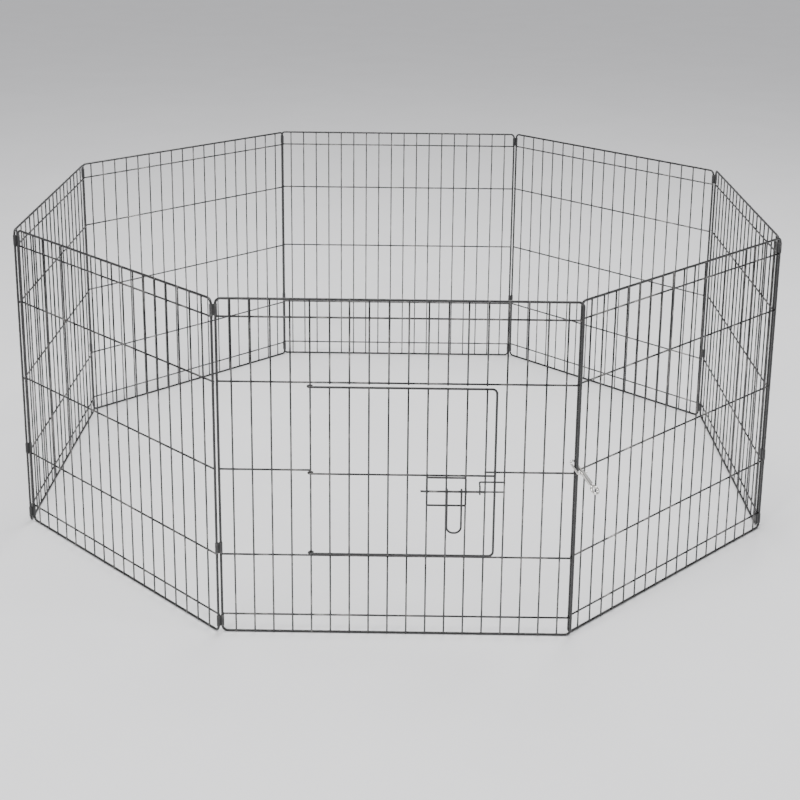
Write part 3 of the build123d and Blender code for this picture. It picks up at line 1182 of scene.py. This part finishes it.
# ---------------------------------------------------------------- the room


@dataclass(frozen=True)
class Studio:
    """A flat pale floor, soft lamps, a pale surround and the camera. Lengths are in metres."""

    floor_tone: tuple = (0.86, 0.86, 0.87)
    floor_gloss: tuple = (0.55, 0.7)
    floor_shade: float = 0.97
    reach: float = 60.0
    sky_strength: float = 0.9
    lens: float = 66.15
    sensor: float = 36.0
    shift: float = -0.2
    azimuth: float = 0.4
    elevation: float = 14.86
    roll: float = 0.57
    distance: float = 3.142
    target: tuple = (0.004, 0.0, 0.515)

    def floor(self) -> None:
        """Makes the floor and its finish."""
        size = self.reach
        mesh = bpy.data.meshes.new("floor")
        mesh.from_pydata([(-size, -size, 0), (size, -size, 0), (size, size, 0), (-size, size, 0)], [], [(0, 1, 2, 3)])
        made = Workshop.link("floor", mesh)
        material = bpy.data.materials.new("pale_floor")
        material.use_nodes = True
        material.node_tree.nodes.clear()
        g = Graph(material.node_tree)
        low = tuple(c * self.floor_shade for c in self.floor_tone)
        tone = g.ramp(g.noise(3, 4), [(0.3, low), (0.7, self.floor_tone)])
        rough = g.spread(g.noise(40, 4), 0.3, 0.7, *self.floor_gloss)
        shader = g.add("ShaderNodeBsdfPrincipled", {"Base Color": tone, "Roughness": rough})
        g.add("ShaderNodeOutputMaterial", {"Surface": shader.outputs["BSDF"]})
        mesh.materials.append(material)

    @staticmethod
    def lamp(name: str, at: tuple, aim: tuple, size: float, power: float) -> None:
        """Hangs one soft square lamp.

        Args:
            name: Its name.
            at: Where it hangs, in metres.
            aim: The point that it faces.
            size: Its side in metres.
            power: Its power in watts.
        """
        light = bpy.data.lights.new(name, "AREA")
        light.shape, light.size, light.energy = "SQUARE", size, power
        made = bpy.data.objects.new(name, light)
        made.location = at
        made.rotation_euler = (Vector(aim) - Vector(at)).to_track_quat("-Z", "Y").to_euler()
        bpy.context.scene.collection.objects.link(made)

    def sky(self) -> None:
        """Sets a grey surround that grows pale overhead."""
        world = bpy.data.worlds.new("surround")
        world.use_nodes = True
        world.node_tree.nodes.clear()
        g = Graph(world.node_tree)
        ray = g.add("ShaderNodeTexCoord").outputs["Generated"]
        height = g.add("ShaderNodeSeparateXYZ", {"Vector": ray}).outputs["Z"]
        tone = g.ramp(height, [(0.0, (0.40, 0.40, 0.41)), (0.5, (0.50, 0.50, 0.51)), (0.8, (0.92, 0.92, 0.94))])
        shade = g.add("ShaderNodeBackground", {"Color": tone, "Strength": self.sky_strength})
        g.add("ShaderNodeOutputWorld", {"Surface": shade.outputs[0]})
        bpy.context.scene.world = world

    def camera(self) -> None:
        """Sets up the camera."""
        data = bpy.data.cameras.new("view")
        data.sensor_width, data.lens, data.shift_y = self.sensor, self.lens, self.shift
        made = bpy.data.objects.new("view", data)
        bpy.context.scene.collection.objects.link(made)
        azimuth, elevation = math.radians(self.azimuth), math.radians(self.elevation)
        level_part = math.cos(elevation)
        back = Vector((math.sin(azimuth) * level_part, -math.cos(azimuth) * level_part, math.sin(elevation)))
        made.location = Vector(self.target) + back * self.distance
        level = (-back).to_track_quat("-Z", "Y").to_matrix()
        made.rotation_euler = (level @ Matrix.Rotation(math.radians(self.roll), 3, "Z")).to_euler()
        bpy.context.scene.camera = made

    def build(self) -> None:
        """Sets the floor, lamps, surround and camera."""
        self.floor()
        self.sky()
        self.lamp("key", (-1.6, -2.6, 3.4), (0, 0, 0.2), 1.5, 130)
        self.lamp("top", (0.4, 1.2, 3.8), (0, 0, 0), 1.8, 120)
        self.lamp("side", (3.4, -1.6, 2.0), (0, 0, 0.3), 1.0, 45)
        self.camera()


# ---------------------------------------------------------------- run


def main() -> None:
    """Builds every sub-assembly in order."""
    logging.basicConfig(level=logging.INFO)
    random.seed(SEED)
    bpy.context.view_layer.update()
    shop = Workshop().open()
    ring = Ring(SPEC)
    for name, place in zip(PANELS, ring.places):
        Panel(name, place).build(shop)
    log.info("panels built")
    for near, far, corner in zip(PANELS, PANELS[1:], ring.corners):
        ClipHinge(near, far, corner).build(shop)
    log.info("clip hinges built")
    Door(ring.places[0]).build(shop)
    BoltSnap(frame["nodes"]).dress(shop)
    Studio().build()
    log.info("done")


if __name__ == "__main__":
    main()
